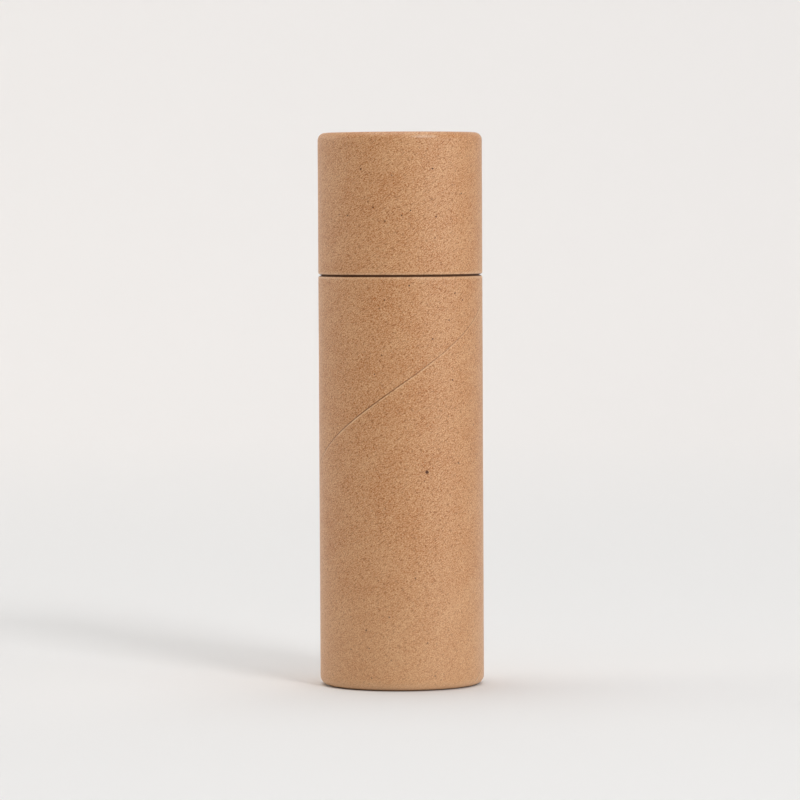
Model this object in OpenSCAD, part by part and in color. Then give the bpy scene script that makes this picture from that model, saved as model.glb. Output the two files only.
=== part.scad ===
// Push-up paper tube. A spiral-wound card body has a longer inner tube glued into it, and the
// neck that stands out of the body takes a push-on cap. A pressed card disc closes the bottom
// and is pushed up the inner tube with a finger. The raw ends of the body and of the cap are
// turned in, which hides the cut edge and holds the disc above it or below it.
// Millimetres, +Z up. The origin is on the axis, at the foot that the tube stands on.

/* [Body] */
// Outside diameter of the body and of the cap
body_d = 20.9; // [16:0.1:40]
// Height of the body, from the foot to the shoulder under the cap
body_h = 52.15; // [30:0.05:110]
// Wall of the outer tube
body_wall = 0.95; // [0.6:0.05:1.35]
// Height of the turned-up leg inside the foot, which the disc and the inner tube stand on
foot_leg = 2.2; // [1.6:0.1:5]
// How far the turned-in foot reaches under the disc
disc_ledge = 0.6; // [0.25:0.05:1.2]

/* [Inner tube] */
// Wall of the inner tube
inner_wall = 0.9; // [0.5:0.05:1.5]
// Glue line between two pieces that are stuck together
glue_line = 0.05; // [0.02:0.01:0.1]

/* [Push-up disc] */
// Thickness of the pressed disc and of its skirt
disc_board = 0.8; // [0.4:0.05:1.5]
// Height of the disc with its skirt
disc_h = 4.0; // [3:0.1:8]
// Clearance all round between the disc and the inner tube
disc_clearance = 0.1; // [0.05:0.01:0.2]
// How far below the mouth the disc ends its travel
disc_stop = 0.3; // [0.1:0.1:2]

/* [Cap] */
// Height of the cap
cap_h = 18.0; // [10:0.05:45]
// Clearance all round between the cap and the neck
cap_clearance = 0.1; // [0.05:0.01:0.2]
// Height left open between the cap and the shoulder
cap_rise = 0.12; // [0.02:0.01:0.6]
// Width left open inside the turned-in top of the cap
cap_fold = 0.6; // [0.3:0.05:2]
// Length of the leg that the top of the cap turns down inside
cap_leg = 1.9; // [1.4:0.1:4]
// Thickness of the disc that closes the cap
cap_board = 1.0; // [0.5:0.05:2]

/* [Edges] */
// Inside radius of the turned edge of the cap and of the pressed edge of the disc
bend_in = 0.05; // [0.02:0.01:0.14]
// Inside radius of the turned edge of the foot, where its fold has room for it
foot_bend_in = 0.2; // [0.02:0.01:0.3]
// Radius on the cut edges
cut_r = 0.3; // [0.05:0.01:0.35]

/* [Spiral seam] */
// Rise of the seam in one turn
seam_pitch = 46; // [25:0.5:120]
// Width of the open butt joint at the surface
seam_w = 0.16; // [0.08:0.01:0.4]
// Depth of the butt joint
seam_depth = 0.08; // [0.04:0.01:0.2]
// Height at which the body's seam passes the front
body_seam_z = 38.6; // [5:0.1:60]

/* [Hidden] */
$fn = 96;

KRAFT = [0.76, 0.58, 0.42];
LINER = [0.80, 0.66, 0.50];
BOARD = [0.70, 0.53, 0.38];

// Compass directions round the axis, for the seams: the front looks along +Y
FRONT = -90;
BACK = 90;
seam_steps_per_turn = 90;

// Radii, from the outside in
body_r = body_d / 2;
neck_r = body_r - body_wall - glue_line;
bore_r = neck_r - inner_wall;
disc_r = bore_r - disc_clearance;
cap_bore_r = neck_r + cap_clearance;
cap_wall = body_r - cap_bore_r;

// Clear width between the body's wall and the leg turned up inside its foot, and the bend that
// leaves a flat for the tube to stand on
foot_fold = body_r - 2 * body_wall - (disc_r - disc_ledge);
most_of_fold = 0.4;
foot_inside = min(foot_bend_in, most_of_fold * foot_fold);

// Heights, from the foot up
cap_z = body_h + cap_rise;
cap_top_z = cap_z + cap_h;
mouth_z = cap_top_z - cap_leg - cap_board;
disc_travel = mouth_z - disc_stop - foot_leg - disc_h;
echo(bore_r = bore_r, neck_r = neck_r, mouth_z = mouth_z, disc_travel = disc_travel);

// One quarter of a flat ring, in the quadrant that the signs of qx and qy give
module quarter_ring(outer, inner, qx, qy) {
    intersection() {
        difference() {
            circle(r = outer);
            if (inner > 0) circle(r = inner);
        }
        translate([qx < 0 ? -2 * outer : 0, qy < 0 ? -2 * outer : 0]) square(2 * outer);
    }
}

// Section of a tube wall from z0 up to a cut end at z1, with the end's outer edge rounded
module wall_section(outer, wall, z0, z1) {
    translate([outer - wall, z0]) square([wall, z1 - cut_r - z0]);
    translate([outer - wall, z1 - cut_r]) square([wall - cut_r, cut_r]);
    translate([outer - cut_r, z1 - cut_r]) quarter_ring(cut_r, 0, 1, 1);
}

// Section of a tube whose foot is turned in and up again, with a leg of the wall's thickness
module turned_section(outer, wall, height, fold, leg, inside) {
    bend = wall + inside;
    hole = outer - 2 * wall - fold;
    wall_section(outer, wall, bend, height);
    translate([outer - bend, bend]) quarter_ring(bend, inside, 1, -1);
    translate([hole + bend, 0]) square([fold - 2 * inside, wall]);
    translate([hole + bend, bend]) quarter_ring(bend, inside, -1, -1);
    translate([hole, bend]) square([wall, leg - bend]);
}

// A V that follows the spiral seam of a tube between two heights, to cut the open butt joint.
// The seam passes the direction called heading at the height at_z, and climbs anticlockwise.
module seam_cutter(outer, heading, at_z, z0, z1) {
    steps = ceil((z1 - z0) / seam_pitch * seam_steps_per_turn);
    lean = atan2(seam_pitch, 2 * PI * outer);
    half_rise = seam_w / cos(lean);
    heights = [for (i = [0 : steps]) z0 + (z1 - z0) * i / steps];
    points = [
        for (z = heights)
            let (turn = heading + 360 * (z - at_z) / seam_pitch)
            each [
                [(outer - seam_depth) * cos(turn), (outer - seam_depth) * sin(turn), z],
                [(outer + seam_depth) * cos(turn), (outer + seam_depth) * sin(turn), z - half_rise],
                [(outer + seam_depth) * cos(turn), (outer + seam_depth) * sin(turn), z + half_rise]
            ]
    ];
    sides = [
        for (i = [0 : steps - 1], k = [0 : 2])
            let (a = 3 * i + k, b = 3 * i + (k + 1) % 3)
            each [[a, b, b + 3], [a, b + 3, a + 3]]
    ];
    last = 3 * steps;
    polyhedron(points, concat([[2, 1, 0]], sides, [[last, last + 1, last + 2]]));
}

module body_tube() {
    bend = body_wall + foot_inside;
    color(KRAFT) difference() {
        rotate_extrude()
            turned_section(body_r, body_wall, body_h, foot_fold, foot_leg, foot_inside);
        seam_cutter(body_r, FRONT, body_seam_z, bend + seam_w, body_h + 2 * seam_w);
    }
}

module inner_tube() {
    color(LINER) rotate_extrude() wall_section(neck_r, inner_wall, foot_leg, mouth_z);
}

module push_disc() {
    bend = disc_board + bend_in;
    top = foot_leg + disc_h;
    color(BOARD) rotate_extrude() {
        translate([disc_r - disc_board, foot_leg]) square([disc_board, disc_h - bend]);
        translate([disc_r - bend, top - bend]) quarter_ring(bend, bend_in, 1, 1);
        translate([0, top - disc_board]) square([disc_r - bend, disc_board]);
    }
}

module cap_tube() {
    bend = cap_wall + bend_in;
    color(KRAFT) difference() {
        translate([0, 0, cap_top_z]) mirror([0, 0, 1])
            rotate_extrude() turned_section(body_r, cap_wall, cap_h, cap_fold, cap_leg, bend_in);
        seam_cutter(body_r, BACK, cap_z + cap_h / 2, cap_z - 2 * seam_w, cap_top_z - bend - seam_w);
    }
}

module cap_disc() {
    color(BOARD) translate([0, 0, mouth_z]) cylinder(r = cap_bore_r - glue_line, h = cap_board);
}

body_tube();
inner_tube();
push_disc();
cap_tube();
cap_disc();
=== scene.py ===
import math

import bmesh
import bpy
import numpy as np
from mathutils import Euler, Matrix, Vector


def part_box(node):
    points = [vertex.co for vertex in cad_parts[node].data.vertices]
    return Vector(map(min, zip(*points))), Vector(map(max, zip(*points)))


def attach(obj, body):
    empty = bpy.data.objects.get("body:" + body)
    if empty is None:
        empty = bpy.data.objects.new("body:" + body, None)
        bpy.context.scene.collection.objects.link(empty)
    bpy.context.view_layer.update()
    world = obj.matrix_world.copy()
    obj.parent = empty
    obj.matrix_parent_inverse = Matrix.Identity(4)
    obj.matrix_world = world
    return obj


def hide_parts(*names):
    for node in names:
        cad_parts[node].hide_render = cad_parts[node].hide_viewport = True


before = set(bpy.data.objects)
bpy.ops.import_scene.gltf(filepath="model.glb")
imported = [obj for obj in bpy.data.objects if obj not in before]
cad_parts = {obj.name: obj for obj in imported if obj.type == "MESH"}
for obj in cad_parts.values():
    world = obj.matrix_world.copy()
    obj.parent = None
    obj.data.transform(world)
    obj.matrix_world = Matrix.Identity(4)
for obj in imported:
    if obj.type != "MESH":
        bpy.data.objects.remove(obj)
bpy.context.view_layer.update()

# Body tube
# Kraft paper wound in a spiral on a mandrel and glued up into card about a millimetre thick, so one
# butt joint climbs round the outside. The lower edge is turned in and up again on a curling die,
# which gathers the card into fine pleats inside the foot.
MM = 0.001
COLUMNS = 384
TURN = np.linspace(0, 1, COLUMNS + 1)
BOARD = 0.95 * MM
FOOT_BEND_IN = 0.2 * MM
FOOT_BEND = BOARD + FOOT_BEND_IN
CUT = 0.3 * MM
BURR = 0.045 * MM
BURR_IN = 0.1 * MM
RAGGED = 0.012 * MM
RAGGED_WAVES = 40
PLEATS = 71
PLEAT_WAVES = 45
PLEAT_DEPTH = 0.035 * MM
DISC_LEDGE = 0.6 * MM
BODY_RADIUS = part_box("body_tube")[1].x
BODY_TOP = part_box("body_tube")[1].z
FOOT_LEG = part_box("push_disc")[0].z
FOOT_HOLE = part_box("push_disc")[1].x - DISC_LEDGE
PITCH = 46 * MM
BODY_JOINT = 38.6 * MM
FRONT = -0.25
FACE, EDGE, INSIDE = range(3)


def arc(radius, height, size, start, end, steps=8):
    """Points of an outline on an arc about (radius, height), from one angle to another."""
    angles = np.radians(np.linspace(start, end, steps + 1))
    return [(radius + size * math.cos(a), height + size * math.sin(a)) for a in angles]


def straight(start, end, steps=1):
    """Points of an outline on a straight line, with both of its ends."""
    return [tuple(np.add(start, np.subtract(end, start) * i / steps)) for i in range(steps + 1)]


def uneven(seed, amount, waves):
    """A small seeded ripple round the tube, one value for each column, the same at both ends."""
    dice = np.random.default_rng(seed)
    ripple = sum(
        math.exp(-0.5 * (k / waves) ** 2) * np.cos(2 * math.pi * (k * TURN + dice.random()))
        for k in range(1, 3 * waves)
    )
    return amount * ripple / np.abs(ripple).max()


class Joint:
    """The spiral butt joint of a wound tube: where it runs, and the groove that it leaves."""

    DEPTH = 0.035 * MM
    UPPER = 0.055 * MM
    BOTTOM = 0.02 * MM
    LOWER = -0.115 * MM
    LIP = 0.01 * MM
    LIP_AT = -0.22 * MM
    LIP_WIDE = 0.12 * MM
    MEAN_OPEN = 0.75
    STEPS = (
        -0.5, -0.33, -0.23, -0.17, -0.115, -0.07, -0.025,
        0.02, 0.04, 0.055, 0.1, 0.18, 0.33, 0.5,
    )

    def __init__(self, radius, pitch, height, heading):
        self.pitch = pitch
        self.phase = height / pitch - heading
        self.girth = 2 * math.pi * radius
        self.lean = math.atan2(pitch, self.girth)
        self.strip = pitch * math.cos(self.lean)

    def relief(self, path, turn):
        """How far the surface stands out, by the path up the outline and the share of a turn."""
        lap = path / self.pitch - turn - self.phase
        d = (lap - np.round(lap)) * self.strip
        groove = np.interp(d, (self.LOWER, self.BOTTOM, self.UPPER), (0, 1, 0))
        lip = np.exp(-((d - self.LIP_AT) / self.LIP_WIDE) ** 2)
        swell = np.sin(2 * math.pi * (2 * path / self.pitch + turn))
        strength = self.MEAN_OPEN + (1 - self.MEAN_OPEN) * swell
        return strength * (self.LIP * (lip - 1) - self.DEPTH * groove)

    def rows(self, radius, low, high, spacing=1.2 * MM):
        """Rows of points on a wall that follow the joint, close together where they cross it."""
        near = np.array(self.STEPS) * MM
        far = np.linspace(near[-1], self.strip + near[0], round(self.strip / spacing))[1:-1]
        laps = np.concatenate([near, far]) / self.strip + self.phase
        first = math.floor(low / self.pitch - 1 - self.phase) - 1
        last = math.ceil(high / self.pitch - self.phase) + 1
        made = []
        for lap in sorted(lap + k for lap in laps for k in range(first, last)):
            path = np.clip((lap + TURN) * self.pitch, low, high)
            made.append((radius + self.relief(path, TURN), path))
        return made


def rings(points):
    """Rows of points round the axis, one for each point of an outline."""
    return [(np.full(COLUMNS + 1, r), np.full(COLUMNS + 1, z)) for r, z in points]


WELD = 0.002 * MM
SLIVER = 0.001 * MM
CREASE = math.radians(38)


def turned_mesh(name, bands, finishes):
    """A closed mesh round the axis from bands of rows, each with the number of its finish."""
    rows = [row for band, _ in bands for row in band]
    zones = [zone for band, zone in bands for _ in band]
    angle = 2 * math.pi * TURN
    points = [np.stack([r * np.cos(angle), r * np.sin(angle), z], 1) for r, z in rows]
    wide = COLUMNS + 1
    faces = []
    for j in range(len(rows)):
        here = j * wide
        above = (j + 1) % len(rows) * wide
        faces += [(here + i, here + i + 1, above + i + 1, above + i) for i in range(COLUMNS)]
    mesh = bpy.data.meshes.new(name)
    mesh.from_pydata(np.concatenate(points).tolist(), [], faces)
    mesh.polygons.foreach_set("material_index", np.repeat(zones, COLUMNS))
    shape = bmesh.new()
    shape.from_mesh(mesh)
    bmesh.ops.remove_doubles(shape, verts=shape.verts, dist=WELD)
    bmesh.ops.dissolve_degenerate(shape, edges=shape.edges, dist=SLIVER)
    bmesh.ops.recalc_face_normals(shape, faces=shape.faces)
    shape.to_mesh(mesh)
    shape.free()
    mesh.shade_smooth()
    mesh.set_sharp_from_angle(angle=CREASE)
    for finish in finishes:
        mesh.materials.append(finish.material)
    piece = bpy.data.objects.new(name, mesh)
    bpy.context.scene.collection.objects.link(piece)
    return piece


def pleated(rows, seed):
    """Rows moved in and out by the pleats of a turned-in edge, from none to their full depth."""
    folds = uneven(seed, 1, PLEAT_WAVES) + 0.5 * np.sin(2 * math.pi * PLEATS * TURN)
    shares = np.linspace(0, 1, len(rows)) ** 1.5
    return [(r + PLEAT_DEPTH * share * folds, z) for share, (r, z) in zip(shares, rows)]


class Wire:
    """One output of a finish's nodes. Arithmetic on it adds Math nodes."""

    def __init__(self, finish, socket):
        self.finish = finish
        self.socket = socket

    def out(self, name):
        return Wire(self.finish, self.socket.node.outputs[name])

    def math(self, operation, *terms):
        return self.finish.node("ShaderNodeMath", {"operation": operation}, dict(enumerate(terms)))

    def __add__(self, other):
        return self.math("ADD", self, other)

    def __radd__(self, other):
        return self.math("ADD", other, self)

    def __sub__(self, other):
        return self.math("SUBTRACT", self, other)

    def __rsub__(self, other):
        return self.math("SUBTRACT", other, self)

    def __mul__(self, other):
        return self.math("MULTIPLY", self, other)

    def __rmul__(self, other):
        return self.math("MULTIPLY", other, self)

    def __truediv__(self, other):
        return self.math("DIVIDE", self, other)

    def __pow__(self, other):
        return self.math("POWER", self, other)

    def __abs__(self):
        return self.math("ABSOLUTE", self)

    def floor(self):
        return self.math("FLOOR", self)

    def sine(self):
        return self.math("SINE", self)

    def larger(self, other):
        return self.math("MAXIMUM", self, other)

    def angle_to(self, x):
        return self.math("ARCTAN2", self, x)

    def from_whole(self):
        """How far it is above or below the nearest whole number."""
        return self - (self + 0.5).floor()

    def ramp(self, low, high):
        """0 up to low, 1 from high on, and smooth between. It falls where high is under low."""
        return self.finish.node(
            "ShaderNodeMapRange",
            {"interpolation_type": "SMOOTHSTEP"},
            {"Value": self, "From Min": low, "From Max": high},
        )


class Finish:
    """The nodes of a material, or of the room round it, that give it its colour, gloss and relief."""

    def __init__(self, owner):
        self.material = owner
        owner.use_nodes = True
        self.tree = owner.node_tree
        self.tree.nodes.clear()

    def node(self, kind, settings=(), sockets=(), output=0):
        """Adds a node, sets it up, fills or links its sockets, and gives one of its outputs."""
        made = self.tree.nodes.new(kind)
        for key, value in dict(settings).items():
            setattr(made, key, value)
        for key, value in dict(sockets).items():
            if isinstance(value, Wire):
                self.tree.links.new(value.socket, made.inputs[key])
            else:
                made.inputs[key].default_value = value
        return Wire(self, made.outputs[output]) if made.outputs else None

    def place(self):
        """The three coordinates in the piece's own frame, in millimetres."""
        spot = self.node("ShaderNodeTexCoord", output="Object")
        split = self.node("ShaderNodeSeparateXYZ", {}, {0: spot})
        return [split.out(axis) * (1 / MM) for axis in "XYZ"]

    def point(self, x, y, z=0.0):
        return self.node("ShaderNodeCombineXYZ", {}, {"X": x, "Y": y, "Z": z})

    def noise(self, where, scale, detail=2.0, roughness=0.6, distortion=0.0):
        return self.node(
            "ShaderNodeTexNoise",
            {"noise_dimensions": "3D"},
            {
                "Vector": where,
                "Scale": scale,
                "Detail": detail,
                "Roughness": roughness,
                "Distortion": distortion,
            },
        )

    def specks(self, where, spacing, smallest, largest):
        """Scattered specks, 1 inside and 0 outside. Few of them come near the largest size."""
        cells = self.node(
            "ShaderNodeTexVoronoi",
            {"voronoi_dimensions": "3D"},
            {"Vector": where, "Scale": 1 / spacing},
        )
        chance = self.node("ShaderNodeSeparateColor", {}, {0: cells.out("Color")})
        size = smallest + (largest - smallest) * chance.out("Red") ** 4.0
        away = cells.out("Distance") * spacing
        return 1 - (away / size).ramp(0.55, 1.0)

    def blend(self, share, under, over):
        """Two colours, with the second laid over the first by a share."""
        return self.node(
            "ShaderNodeMix",
            {"data_type": "RGBA", "clamp_factor": True},
            {0: share, 6: under, 7: over},
            output=2,
        )

    def surface(self, colour, roughness, height, relief, sheen):
        """The shader that takes the colour, the roughness and a bump of the given height."""
        bump = self.node(
            "ShaderNodeBump",
            {},
            {"Strength": relief, "Distance": 0.05 * MM, "Height": height},
        )
        shader = self.node(
            "ShaderNodeBsdfPrincipled",
            {},
            {
                "Base Color": colour,
                "Roughness": roughness,
                "Normal": bump,
                "IOR": 1.42,
                "Sheen Weight": sheen,
                "Sheen Roughness": 0.35,
            },
        )
        self.node("ShaderNodeOutputMaterial", {}, {"Surface": shader})
        return self


def span(x, y):
    """Length of a slanting line, from its two sides."""
    return (x * x + y * y) ** 0.5


def colour(red, green, blue):
    """A colour as a screen shows it, from 0 to 255, turned into linear light."""
    shown = [c / 255 for c in (red, green, blue)]
    return *(((c + 0.055) / 1.055) ** 2.4 if c > 0.04045 else c / 12.92 for c in shown), 1.0


GRAIN_PER_MM = 8.5
FELT_PER_MM = 2.2
CLOUDS_PER_MM = 0.35
DASHES_PER_MM = 5.0
STRANDS_PER_MM = 0.9
BREAKS_PER_MM = 1.1
SPECK_SPACING = 0.9
SPECK_SIZES = 0.03, 0.12
DARK, LIGHT, SHIVE, FIBRE = range(4)


def paper(finish, along, across, tones):
    """Kraft paper on a flat sheet, by places on it in millimetres: its colour, relief and grain."""
    sheet = finish.point(along * 0.55, across)
    grain = finish.noise(sheet, GRAIN_PER_MM, detail=1.0)
    felt = finish.noise(sheet, FELT_PER_MM, detail=1.0)
    cloud = finish.noise(sheet, CLOUDS_PER_MM)
    tone = 0.54 + (grain - 0.5) * 2.25 + (felt - 0.5) * 0.45 + (cloud - 0.5) * 0.4
    shade = finish.blend(tone, tones[DARK], tones[LIGHT])
    # Short dark dashes of bark along the sheet
    lengthwise = finish.point(along * 0.4, across, 7.0)
    dashes = finish.noise(lengthwise, DASHES_PER_MM, detail=0.0).ramp(0.6, 0.76)
    bark = tuple((d + s) / 2 for d, s in zip(tones[DARK], tones[SHIVE]))
    shade = finish.blend(dashes * 0.5, shade, bark)
    # Pale strands, broken into short lengths
    curls = finish.noise(sheet, STRANDS_PER_MM, detail=1.0, roughness=0.5, distortion=1.2)
    strands = abs(curls - 0.5).ramp(0.022, 0.004)
    broken = finish.noise(finish.point(along, across, 5.0), BREAKS_PER_MM, detail=1.0).ramp(0.56, 0.66)
    pale = strands * broken
    shade = finish.blend(pale * 0.3, shade, tones[FIBRE])
    # Small dark specks
    specks = finish.specks(finish.point(along * 0.6, across, 3.0), SPECK_SPACING, *SPECK_SIZES)
    shade = finish.blend(specks * 0.65, shade, tones[SHIVE])
    return shade, grain + pale * 0.5, grain


def wound_kraft(name, joint, radius, fold, tones, shift, end, shives=()):
    """Kraft paper wound on a tube, laid out on its strip so that the grain breaks at the joint.

    Fold is -1 where the foot is turned in, 1 where the top is, and 0 where neither is. Shift moves
    along the strip, end is the height of the edge that is worn pale and lined dark with painted shade,
    and shives are dark chips on the front, each with its place to the right, its height and its size in
    millimetres.
    """
    finish = Finish(bpy.data.materials.new(name))
    x, y, z = finish.place()
    turn = y.angle_to(x) * (0.5 / math.pi)
    reach = span(x, y)
    path = z + fold * (radius / MM - reach)
    lap = path * (MM / joint.pitch) - turn - joint.phase
    layer = lap.floor()
    lift = math.sin(joint.lean)
    along = (turn + layer) * (joint.girth / MM * math.cos(joint.lean)) + path * lift + shift
    across = (lap - layer) * (joint.strip / MM)
    shade, height, grain = paper(finish, along, across, tones)
    for right, high, size in shives:
        front = y.ramp(0.0, -1.0)
        away = span(x - right, z - high) + (grain - 0.5) * 0.1
        shade = finish.blend(away.ramp(size, size * 0.6) * front * 0.95, shade, tones[SHIVE])
    # The open joint, dark, partly painted shade; the frayed pale edge under it is partly a painted
    # highlight
    wall = (radius / MM - reach).ramp(0.6, 0.3)
    offset = lap.from_whole() * (joint.strip / MM)
    patchy = finish.noise(finish.point(along, 0.0, 2.0), 0.5).ramp(0.3, 0.6)
    swell = ((path * (2 * MM / joint.pitch) + turn) * (2 * math.pi)).sine()
    open_share = joint.MEAN_OPEN + (1 - joint.MEAN_OPEN) * swell
    joint_dark_and_shade = abs(offset).ramp(0.09, 0.04) * wall * open_share
    shade = finish.blend(joint_dark_and_shade * (0.62 + patchy * 0.06), shade, tones[SHIVE])
    frayed_and_highlight = offset.ramp(-0.26, -0.18) * offset.ramp(-0.07, -0.12) * wall * open_share
    shade = finish.blend(frayed_and_highlight * (0.2 + patchy * 0.5), shade, tones[FIBRE])
    # The edge, worn pale on its corner, with painted shade where it meets the next piece
    from_end = abs(z - end / MM)
    shade = finish.blend(from_end.ramp(0.5, 0.2) * 0.35, shade, tones[FIBRE])
    shade = finish.blend(from_end.ramp(0.12, 0.06) * 0.9, shade, tones[SHIVE])
    return finish, shade, height, grain


KRAFT = colour(162, 87, 6), colour(222, 179, 136), colour(80, 36, 2), colour(230, 192, 152)
KRAFT_ROUGH = 0.36, 0.12
KRAFT_RELIEF = 0.1
# Where the painted light on the lower body and its foot bend, and the painted shade line at the foot's
# lower edge, lie
PALER_BELOW = 24.0
FOOT_PAINTED_LIGHT = 1.4, 0.4
FOOT_SHADE_HIGH = 0.26, 0.1
FOOT_SHADE_IN = -0.95, -0.7
BODY_SHIVES = (
    (3.23, 27.6, 0.27),
    (-4.5, 7.7, 0.15),
    (3.2, 6.1, 0.14),
    (1.7, 14.3, 0.12),
    (-1.6, 9.4, 0.14),
    (6.5, 39.1, 0.12),
    (4.0, 44.3, 0.13),
    (1.1, 51.0, 0.13),
    (6.85, 50.0, 0.12),
    (7.8, 49.1, 0.11),
    (-2.0, 49.2, 0.11),
    (6.1, 46.6, 0.11),
    (-2.4, 42.3, 0.12),
    (-3.3, 39.9, 0.1),
    (7.2, 28.6, 0.11),
    (4.15, 1.9, 0.12),
    (-6.45, 5.2, 0.11),
    (-4.15, 5.4, 0.11),
    (-3.85, 1.7, 0.11),
)
body_joint = Joint(BODY_RADIUS, PITCH, BODY_JOINT, FRONT)
finish, shade, height, grain = wound_kraft(
    "body_kraft", body_joint, BODY_RADIUS, -1, KRAFT, 0.0, BODY_TOP, BODY_SHIVES
)
# Painted light towards the foot and on its bend, which offsets the shade near the floor, and a line of
# painted shade along the foot's lower edge
x, y, up = finish.place()
foot_shade = (span(x, y) - BODY_RADIUS / MM).ramp(*FOOT_SHADE_IN) * up.ramp(*FOOT_SHADE_HIGH)
shade = finish.blend(up.ramp(PALER_BELOW, 0.0) * 0.25, shade, KRAFT[LIGHT])
shade = finish.blend(up.ramp(*FOOT_PAINTED_LIGHT) * 0.35, shade, KRAFT[FIBRE])
shade = finish.blend(foot_shade * 0.8, shade, KRAFT[SHIVE])
rough = KRAFT_ROUGH[0] + grain * KRAFT_ROUGH[1]
body_kraft = finish.surface(shade, rough, height, KRAFT_RELIEF, sheen=0.0)

PLIES_PER_MM = 3.6


def cut_card(name, tones):
    """The cut edge of the card: dull, with the plies showing as rings and fuzzy with fibres."""
    finish = Finish(bpy.data.materials.new(name))
    x, y, z = finish.place()
    spot = finish.point(x, y, z)
    wander = finish.noise(spot, 2.0) * 0.12
    ply = (span(x, y) + wander) * PLIES_PER_MM
    plies = abs(ply.from_whole()).ramp(0.0, 0.5)
    fuzz = finish.noise(spot, 9.0, detail=3.0, roughness=0.7)
    shade = finish.blend(plies * 0.55 + (fuzz - 0.5) * 0.9 + 0.2, tones[DARK], tones[LIGHT])
    return finish.surface(shade, 0.85 + fuzz * 0.1, fuzz + plies * 0.5, relief=0.6, sheen=0.1)


CARD_EDGE = colour(84, 50, 26), colour(156, 112, 74)
card_edge = cut_card("card_edge", CARD_EDGE)


def plain_board(name, tones):
    """Pressed or inner card, not wound: the fibres lie every way in the plane of the piece."""
    finish = Finish(bpy.data.materials.new(name))
    x, y, z = finish.place()
    shade, height, grain = paper(finish, x + z * 0.7, y - z * 0.7, tones)
    return finish.surface(shade, 0.6 + grain * 0.2, height, relief=0.3, sheen=0.1)


INNER_PLY = colour(160, 120, 84), colour(214, 176, 136), colour(92, 62, 36), colour(226, 198, 164)
inner_ply = plain_board("inner_ply", INNER_PLY)


def turned_in(radius, hole, board, leg, inside, seed):
    """Rows of an edge that is turned in at height 0 and up again, from inside the wall to outside."""
    bend = board + inside
    hidden = rings(
        arc(radius - bend, bend, inside, 0, -90, 3)
        + arc(hole + bend, bend, inside, -90, -180, 3)
        + [(hole + board, leg)]
    )
    shown = rings(
        straight((hole, leg), (hole, bend), 5)
        + arc(hole + bend, bend, bend, 180, 270)[1:]
    )
    outer = rings(arc(radius - bend, bend, bend, 270, 360)[:-1])
    return hidden, pleated(shown[::-1], seed)[::-1], outer


hidden, shown, outer = turned_in(BODY_RADIUS, FOOT_HOLE, BOARD, FOOT_LEG, FOOT_BEND_IN, seed=11)
grooved = []
for r, z in outer:
    share = (r - BODY_RADIUS + FOOT_BEND) / FOOT_BEND
    grooved.append((r + share * body_joint.relief(z - (BODY_RADIUS - r), TURN), z))
wall = body_joint.rows(BODY_RADIUS, FOOT_BEND, BODY_TOP - CUT)
ragged = uneven(21, RAGGED, RAGGED_WAVES)
shoulder = [
    (r + body_joint.relief(z, TURN), z + ragged * (z - BODY_TOP + CUT) / CUT)
    for r, z in rings(arc(BODY_RADIUS - CUT, BODY_TOP - CUT, CUT, 0, 90, 5))
]
burr = [(BODY_RADIUS - CUT - BURR_IN, BODY_TOP + BURR), (BODY_RADIUS - BOARD, BODY_TOP + BURR)]
cut_end = [(r, z + ragged) for r, z in rings(burr)]
body = turned_mesh(
    "kraft_body",
    [
        (grooved + wall + shoulder[:-1], FACE),
        (shoulder[-1:] + cut_end[:-1], EDGE),
        (cut_end[-1:] + hidden, INSIDE),
        (shown, FACE),
    ],
    [body_kraft, card_edge, inner_ply],
)
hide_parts("body_tube")
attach(body, "tube")

# Inner tube
# A second wound tube, a little paler, glued into the body with its foot on the turned-in edge. The
# part that stands out above the shoulder is the neck that the cap grips.
DISC_CLEARANCE = 0.1 * MM
NECK_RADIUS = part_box("inner_tube")[1].x
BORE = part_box("push_disc")[1].x + DISC_CLEARANCE
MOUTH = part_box("inner_tube")[1].z
MOUTH_EASED = 0.06 * MM
MOUTH_DIP = 0.02 * MM
MOUTH_DEEP = 0.1 * MM
PLAIN_BORE = 2 * MM
NECK_JOINT = MOUTH - 8 * MM
NECK_HEADING = FRONT + 0.1
NECK_SHIFT = 140.0
NECK_SHADE = BODY_TOP + 0.06 * MM
NECK_RAGGED = 0.01 * MM
LINER = colour(178, 136, 98), colour(226, 190, 152), colour(100, 68, 40), colour(234, 208, 176)
neck_pitch = PITCH * NECK_RADIUS / BODY_RADIUS
neck_joint = Joint(NECK_RADIUS, neck_pitch, NECK_JOINT, NECK_HEADING)
finish, shade, height, grain = wound_kraft(
    "neck_liner", neck_joint, NECK_RADIUS, 0, LINER, NECK_SHIFT, NECK_SHADE
)
neck_liner = finish.surface(shade, 0.5 + grain * 0.2, height, relief=0.25, sheen=0.1)
wall = neck_joint.rows(NECK_RADIUS, FOOT_LEG, MOUTH - CUT)
ragged = uneven(22, NECK_RAGGED, RAGGED_WAVES)
lip = [
    (r + neck_joint.relief(z, TURN), z + np.minimum(ragged, 0) * (z - MOUTH + CUT) / CUT)
    for r, z in rings(arc(NECK_RADIUS - CUT, MOUTH - CUT, CUT, 0, 90, 5))
]
bore = rings([(BORE + MOUTH_EASED, MOUTH - MOUTH_DIP), (BORE, MOUTH - MOUTH_DEEP)])
bore += rings(straight((BORE, MOUTH - PLAIN_BORE), (BORE, FOOT_LEG), 12))
neck = turned_mesh(
    "inner_neck",
    [(wall + lip[:-1], FACE), (lip[-1:], EDGE), (bore, INSIDE)],
    [neck_liner, card_edge, inner_ply],
)
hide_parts("inner_tube")
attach(neck, "tube")

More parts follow.
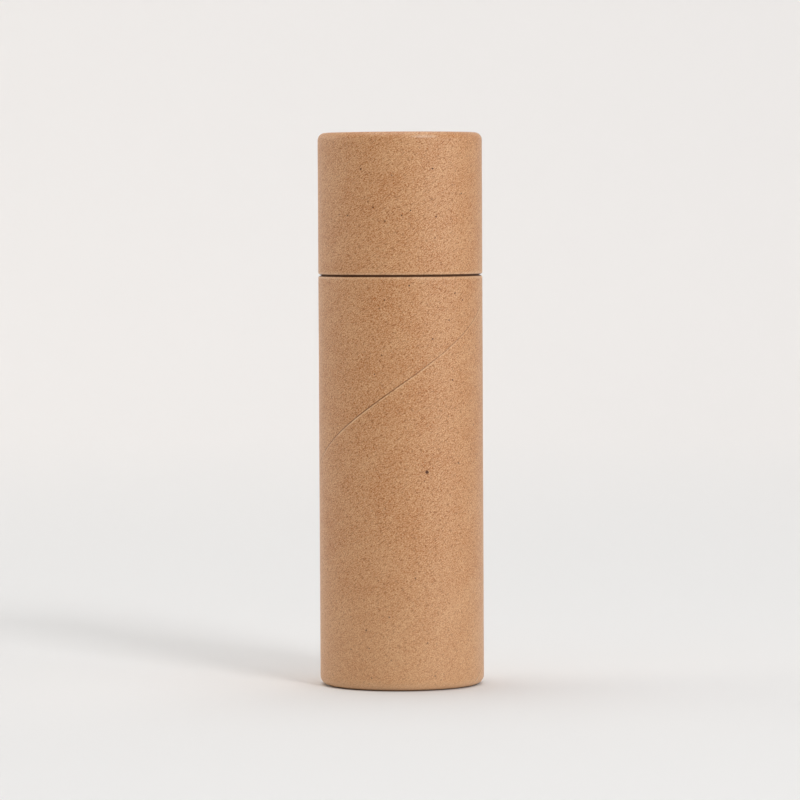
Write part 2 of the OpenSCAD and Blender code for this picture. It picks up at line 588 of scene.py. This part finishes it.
# Push-up disc
# A cup pressed from one round of card. Its skirt points down, is crimped by the press and rubs on
# the bore, which holds the disc wherever a finger has pushed it.
DISC_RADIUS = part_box("push_disc")[1].x
DISC_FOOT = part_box("push_disc")[0].z
DISC_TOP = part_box("push_disc")[1].z
DISC_BOARD = 0.8 * MM
DISC_BEND = 0.9 * MM
DISC_DISH = 0.12 * MM
SKIRT_EASED = 0.05 * MM
CRIMPS = 64
CRIMP_DEPTH = 0.03 * MM
CRIMP_WANDER = 0.05 * MM
CRIMP_WAVES = 30
PRESSED = colour(152, 110, 76), colour(206, 164, 124), colour(84, 54, 30), colour(216, 184, 148)
pressed_card = plain_board("pressed_card", PRESSED)
middle = DISC_RADIUS - DISC_BEND
bend_low = DISC_TOP - DISC_BEND
skirt_bore = DISC_RADIUS - DISC_BOARD
crimps = uneven(31, CRIMP_WANDER, CRIMP_WAVES)
crimps = crimps + CRIMP_DEPTH * np.sin(2 * math.pi * CRIMPS * TURN)
crimps -= crimps.max()


def crimped(points):
    """Rows of the skirt, drawn in by the crimps, most at its foot."""
    depth = bend_low - DISC_FOOT
    return [(r + crimps * np.clip((bend_low - z) / depth, 0, 1), z) for r, z in rings(points)]


def dished(height):
    """Rows of the plate, from its edge to the middle, which the press leaves a little hollow."""
    inward = np.linspace(middle, 0, 9)
    return rings([(r, height - DISC_DISH * (1 - (r / middle) ** 2)) for r in inward])


skirt_out = straight((DISC_RADIUS, DISC_FOOT + SKIRT_EASED), (DISC_RADIUS, bend_low), 6)
skirt_in = straight((skirt_bore, bend_low), (skirt_bore, DISC_FOOT + SKIRT_EASED), 6)
skirt_foot = [(skirt_bore + SKIRT_EASED, DISC_FOOT), (DISC_RADIUS - SKIRT_EASED, DISC_FOOT)]
plate = rings(arc(middle, bend_low, DISC_BEND, 0, 90)[1:-1]) + dished(DISC_TOP)
underside = dished(DISC_TOP - DISC_BOARD)[::-1]
underside += rings(arc(middle, bend_low, DISC_BEND - DISC_BOARD, 90, 0, 4)[1:-1])
pressed = crimped(skirt_out) + plate + underside + crimped(skirt_in) + crimped(skirt_foot[:1])
disc = turned_mesh(
    "push_up_disc",
    [(pressed, FACE), (crimped(skirt_foot[1:]), EDGE)],
    [pressed_card, card_edge],
)
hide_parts("push_disc")
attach(disc, "plunger")

# Cap tube
# A short length of the same wound tube as the body, opened out to slide over the neck. Its top edge
# is turned in and down on the die, and its butt joint is at the back.
CAP_CLEARANCE = 0.1 * MM
CAP_FOLD = 0.6 * MM
CAP_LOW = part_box("cap_tube")[0].z
CAP_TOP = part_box("cap_tube")[1].z
CAP_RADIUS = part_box("cap_tube")[1].x
CAP_BORE = NECK_RADIUS + CAP_CLEARANCE
CAP_BOARD = CAP_RADIUS - CAP_BORE
CAP_BEND_IN = 0.05 * MM
CAP_BEND = CAP_BOARD + CAP_BEND_IN
CAP_HOLE = CAP_BORE - CAP_BOARD - CAP_FOLD
CAP_LEG = CAP_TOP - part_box("cap_disc")[1].z
CAP_SHIFT = 310.0
BACK = 0.25
# A painted highlight on the front of the cap's rounded rim: its colour, middle and size
RIM_HIGHLIGHT = colour(246, 218, 190)
RIM_HIGHLIGHT_AT = 3.2, 69.67
RIM_HIGHLIGHT_SIZE = 2.2, 0.27
CAP_SHIVES = (
    (-4.9, 65.6, 0.14),
    (4.1, 65.6, 0.14),
    (0.2, 59.8, 0.12),
    (4.5, 59.6, 0.12),
    (-3.4, 60.8, 0.12),
    (1.3, 60.4, 0.12),
    (-1.9, 59.1, 0.11),
    (-6.6, 59.8, 0.11),
    (-1.0, 64.8, 0.11),
    (7.7, 62.5, 0.11),
    (4.0, 61.8, 0.1),
)
cap_joint = Joint(CAP_RADIUS, PITCH, (CAP_LOW + CAP_TOP) / 2, BACK)
finish, shade, height, grain = wound_kraft(
    "cap_kraft", cap_joint, CAP_RADIUS, 1, KRAFT, CAP_SHIFT, CAP_LOW, CAP_SHIVES
)
# The painted highlight on the rim, faded out from its middle and broken by the grain
x, y, z = finish.place()
right = (x - RIM_HIGHLIGHT_AT[0]) / RIM_HIGHLIGHT_SIZE[0]
high = (z - RIM_HIGHLIGHT_AT[1]) / RIM_HIGHLIGHT_SIZE[1]
rim_highlight = (right * right + high * high).ramp(1.0, 0.0) * y.ramp(0.0, -1.0)
shade = finish.blend(rim_highlight * (0.05 + grain * 0.5), shade, RIM_HIGHLIGHT)
rough = KRAFT_ROUGH[0] + grain * KRAFT_ROUGH[1]
cap_kraft = finish.surface(shade, rough, height, KRAFT_RELIEF, sheen=0.0)


def upside_down(rows):
    """Rows of an edge that was drawn at the foot, set at the top of the cap, in the other order."""
    return [(r, CAP_TOP - z) for r, z in rows[::-1]]


hidden, shown, outer = map(
    upside_down, turned_in(CAP_RADIUS, CAP_HOLE, CAP_BOARD, CAP_LEG, CAP_BEND_IN, seed=12)
)
grooved = []
for r, z in outer:
    share = (r - CAP_RADIUS + CAP_BEND) / CAP_BEND
    grooved.append((r + share * cap_joint.relief(z + CAP_RADIUS - r, TURN), z))
wall = cap_joint.rows(CAP_RADIUS, CAP_LOW + CUT, CAP_TOP - CAP_BEND)
ragged = uneven(23, RAGGED, RAGGED_WAVES)
rim = [
    (r + cap_joint.relief(z, TURN), z + ragged * (CAP_LOW + CUT - z) / CUT)
    for r, z in rings(arc(CAP_RADIUS - CUT, CAP_LOW + CUT, CUT, -90, 0, 5))
]
burr = [(CAP_BORE, CAP_LOW - BURR), (CAP_RADIUS - CUT - BURR_IN, CAP_LOW - BURR)]
cut_end = [(r, z + ragged) for r, z in rings(burr)]
cap = turned_mesh(
    "kraft_cap",
    [(cut_end, EDGE), (rim + wall + grooved, FACE), (shown, FACE), (hidden, INSIDE)],
    [cap_kraft, card_edge, inner_ply],
)
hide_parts("cap_tube")
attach(cap, "cap")

# Cap disc
# A flat round of card, die-cut and glued up under the turned-in edge, which closes the cap and stops
# it on the mouth of the neck.
PLATE_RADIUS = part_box("cap_disc")[1].x
PLATE_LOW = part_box("cap_disc")[0].z
PLATE_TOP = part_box("cap_disc")[1].z
EASED = 0.12 * MM
TOP_CARD = colour(162, 118, 82), colour(216, 174, 134), colour(84, 54, 30), colour(224, 192, 156)
top_card = plain_board("top_card", TOP_CARD)
top_face = rings([(r, PLATE_TOP) for r in np.linspace(PLATE_RADIUS - EASED, 0, 8)])
low_face = rings([(r, PLATE_LOW) for r in np.linspace(0, PLATE_RADIUS - EASED, 8)])
side = rings(
    arc(PLATE_RADIUS - EASED, PLATE_LOW + EASED, EASED, -90, 0, 4)
    + arc(PLATE_RADIUS - EASED, PLATE_TOP - EASED, EASED, 0, 90, 4)
)
cap_plate = turned_mesh(
    "cap_plate",
    [(side[1:-1], EDGE), (top_face + low_face, FACE)],
    [top_card, card_edge],
)
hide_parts("cap_disc")
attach(cap_plate, "cap")

# Floor and backdrop
# One wide sheet of pale matt paper that lies flat under the tube and sweeps up behind it without a
# crease. It is painted a touch paler towards the back, painted light where the lamps light it less.
SWEEP_WIDE = 3.0
SWEEP_NEAR = -1.6
SWEEP_BEND = 0.6
SWEEP_COVE = 0.5
SWEEP_HIGH = 1.6
PALE = colour(231, 231, 231)
PALEST = colour(243, 241, 240)
PALER_FROM = 0.15
PALER_TO = 0.82
profile = straight((SWEEP_NEAR, 0.0), (SWEEP_BEND, 0.0), 4)
profile += arc(SWEEP_BEND, SWEEP_COVE, SWEEP_COVE, -90, 0, 24)[1:]
profile += [(SWEEP_BEND + SWEEP_COVE, SWEEP_HIGH)]
corners = [(side * SWEEP_WIDE / 2, y, z) for y, z in profile for side in (-1, 1)]
strips = [(2 * i, 2 * i + 1, 2 * i + 3, 2 * i + 2) for i in range(len(profile) - 1)]
sweep_mesh = bpy.data.meshes.new("sweep")
sweep_mesh.from_pydata(corners, [], strips)
sweep_mesh.shade_smooth()
sweep = bpy.data.objects.new("sweep", sweep_mesh)
bpy.context.scene.collection.objects.link(sweep)
finish = Finish(bpy.data.materials.new("pale_paper"))
# Painted light: the sheet is paler towards the back, where the lamps light it less
behind = finish.place()[1] * MM
shade = finish.blend(behind.ramp(PALER_FROM, PALER_TO), PALE, PALEST)
shader = finish.node(
    "ShaderNodeBsdfPrincipled",
    {},
    {"Base Color": shade, "Roughness": 0.95, "IOR": 1.2},
)
finish.node("ShaderNodeOutputMaterial", {}, {"Surface": shader})
sweep_mesh.materials.append(finish.material)

# Studio light
# A faint pale room, a soft lamp at the front right that throws the long shadow, a wide low panel at
# the right, a wider warm one at the back left and two panels overhead. What is seen of the room past
# the sheet is as pale as the sheet.
WARM = 1.09, 1.0, 0.88
ROOM = 0.145
ROOM_SEEN = 0.82
ROOM_TINT = (1.0, 0.99, 0.98, 1.0)
world = bpy.data.worlds.new("room")
bpy.context.scene.world = world
sky = Finish(world)
rays = sky.node("ShaderNodeLightPath")
seen = rays.out("Is Camera Ray")
seen = seen.larger(rays.out("Is Glossy Ray"))
seen = seen.larger(rays.out("Is Transmission Ray"))
strength = ROOM + seen * (ROOM_SEEN - ROOM)
room = sky.node("ShaderNodeBackground", {}, {"Color": ROOM_TINT, "Strength": strength})
sky.node("ShaderNodeOutputWorld", {}, {"Surface": room})


def soft_lamp(name, heading, rise, distance, wide, high, level, tint=(1.0, 1.0, 1.0)):
    """A lamp aimed at the middle of the tube. Heading is from the front, to the right."""
    lamp = bpy.data.lights.new(name, "AREA")
    lamp.shape = "RECTANGLE"
    lamp.size = wide
    lamp.size_y = high
    lamp.color = tint
    lamp.energy = level * 4 * math.pi * distance ** 2
    made = bpy.data.objects.new(name, lamp)
    made.visible_camera = False
    bpy.context.scene.collection.objects.link(made)
    across = math.radians(heading)
    up = math.radians(rise)
    made.location = (
        distance * math.cos(up) * math.sin(across),
        -distance * math.cos(up) * math.cos(across),
        distance * math.sin(up) + CAP_TOP / 2,
    )
    made.rotation_euler = Euler((math.pi / 2 - up, 0, across))


soft_lamp("front_right_lamp", heading=30.5, rise=31, distance=1.2, wide=0.28, high=0.28, level=0.264)
soft_lamp("right_panel", heading=60, rise=7, distance=1.6, wide=1.6, high=0.3, level=0.19)
soft_lamp("left_panel", heading=-110, rise=20, distance=1.6, wide=2.0, high=0.9, level=0.292, tint=WARM)
soft_lamp("back_overhead_panel", heading=180, rise=80, distance=1.6, wide=1.2, high=1.2, level=0.307)
soft_lamp("front_overhead_panel", heading=0, rise=80, distance=1.6, wide=2.0, high=2.0, level=0.218)

# Camera
# At the height of the cap, a good half metre away, with a long lens and a slight roll, as the
# photograph was taken.
FRAME_SIDE = 800
FOCAL_PIXELS = 4554
EYE_HEIGHT = 61 * MM
EYE_AWAY = 580 * MM
EYE_LEFT = 0.12 * MM
EYE_LEVEL_ROW = 205.65
ROLL = math.radians(0.28)
camera_data = bpy.data.cameras.new("camera")
camera_data.sensor_width = 36
camera_data.lens = camera_data.sensor_width * FOCAL_PIXELS / FRAME_SIDE
camera_data.clip_start = 0.01
camera = bpy.data.objects.new("camera", camera_data)
bpy.context.scene.collection.objects.link(camera)
camera.location = (-EYE_LEFT, -EYE_AWAY, EYE_HEIGHT)
tilt = math.atan((FRAME_SIDE / 2 - EYE_LEVEL_ROW) / FOCAL_PIXELS)
aimed = Euler((math.pi / 2 - tilt, 0, 0)).to_matrix()
rolled = Euler((0, 0, -ROLL)).to_matrix()
camera.rotation_euler = (aimed @ rolled).to_euler()
bpy.context.scene.camera = camera
bpy.context.scene.view_settings.view_transform = "Standard"
